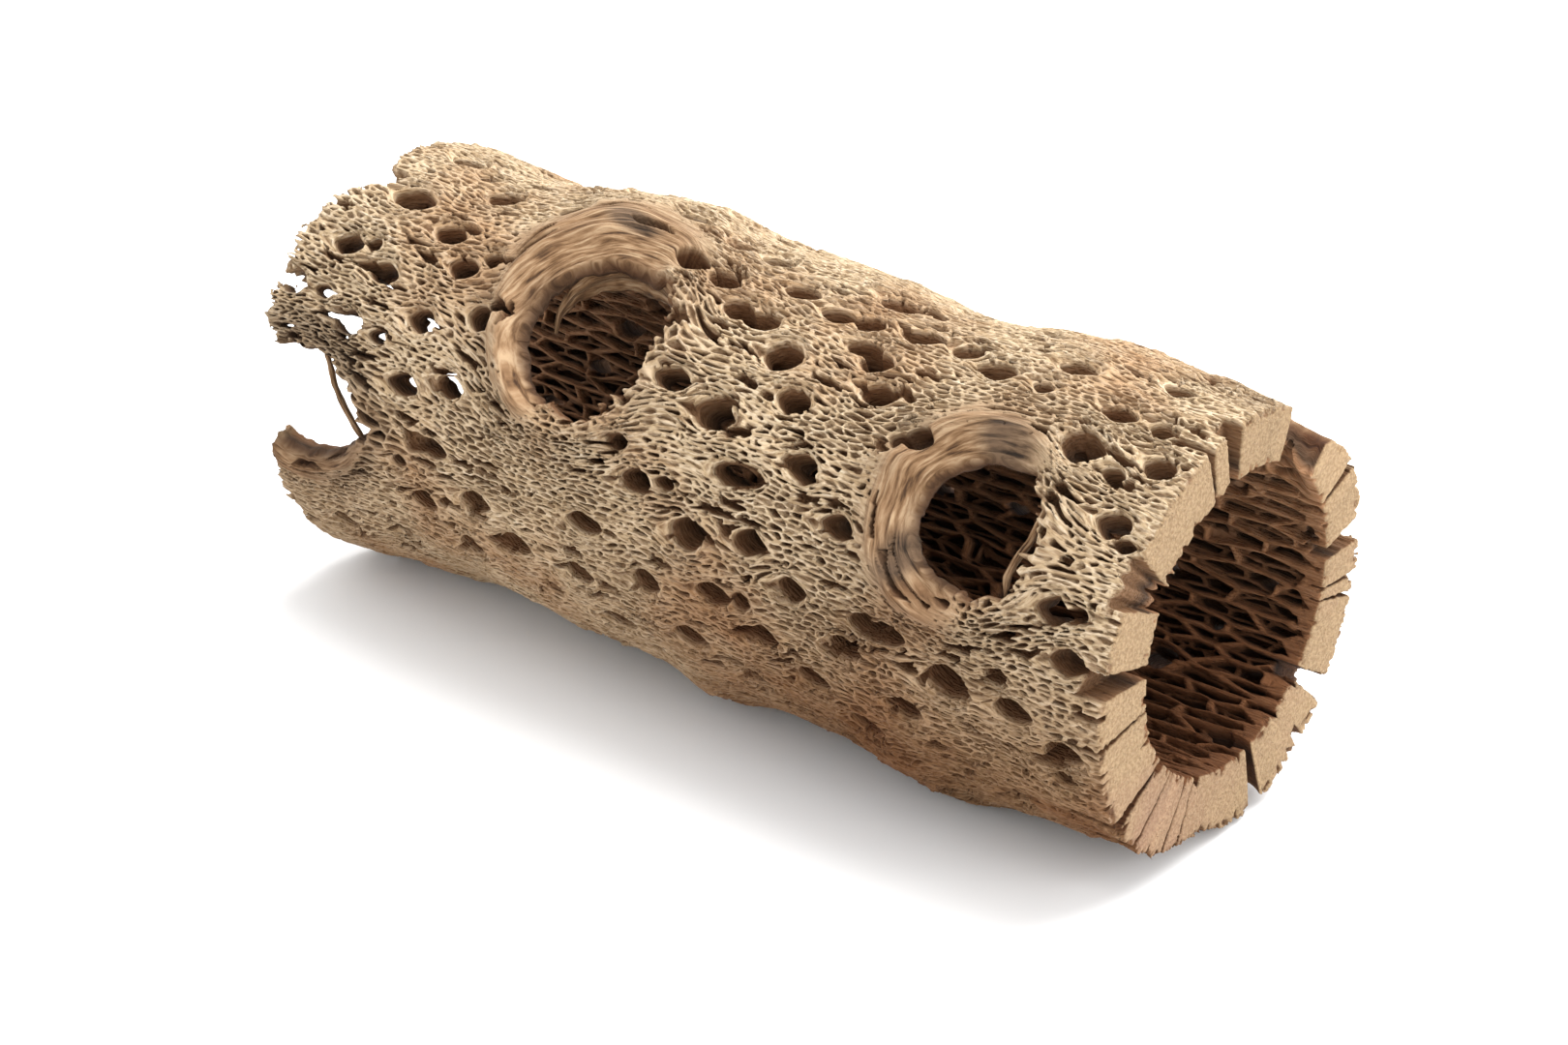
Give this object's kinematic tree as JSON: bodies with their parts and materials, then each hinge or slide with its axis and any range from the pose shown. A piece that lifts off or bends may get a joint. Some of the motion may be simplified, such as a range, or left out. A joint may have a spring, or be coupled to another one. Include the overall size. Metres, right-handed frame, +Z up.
{
  "type": "hollow cholla wood",
  "caption": "Hollow length of dried cholla-cactus wood: a woody net tube with branch knots, one broken end and one sawn end.",
  "frame": {"origin": "on the floor, under the middle of the log's bounding box", "axes": "+X along the log towards its sawn end, -Y towards the side with the branch knots, +Z up"},
  "size_m": [0.2157, 0.0918, 0.093],
  "materials": {
    "weathered_wood": "dry, matt, fibrous and sun-bleached tan, darker brown inside the tube",
    "collar_wood": "dry, smooth, finely grained warm brown",
    "fibre_wood": "dry, stringy red-brown fibre"
  },
  "bodies": {
    "root": {"lattice_wall_top": "weathered_wood", "lattice_wall_front": "weathered_wood", "lattice_wall_underside": "weathered_wood", "lattice_wall_back": "weathered_wood", "branch_collar_left": "collar_wood", "branch_collar_right": "collar_wood", "branch_collar_end": "collar_wood", "collar_splinter": "fibre_wood", "knot_strand": "fibre_wood", "end_strand": "fibre_wood"}
  },
  "joints": []
}
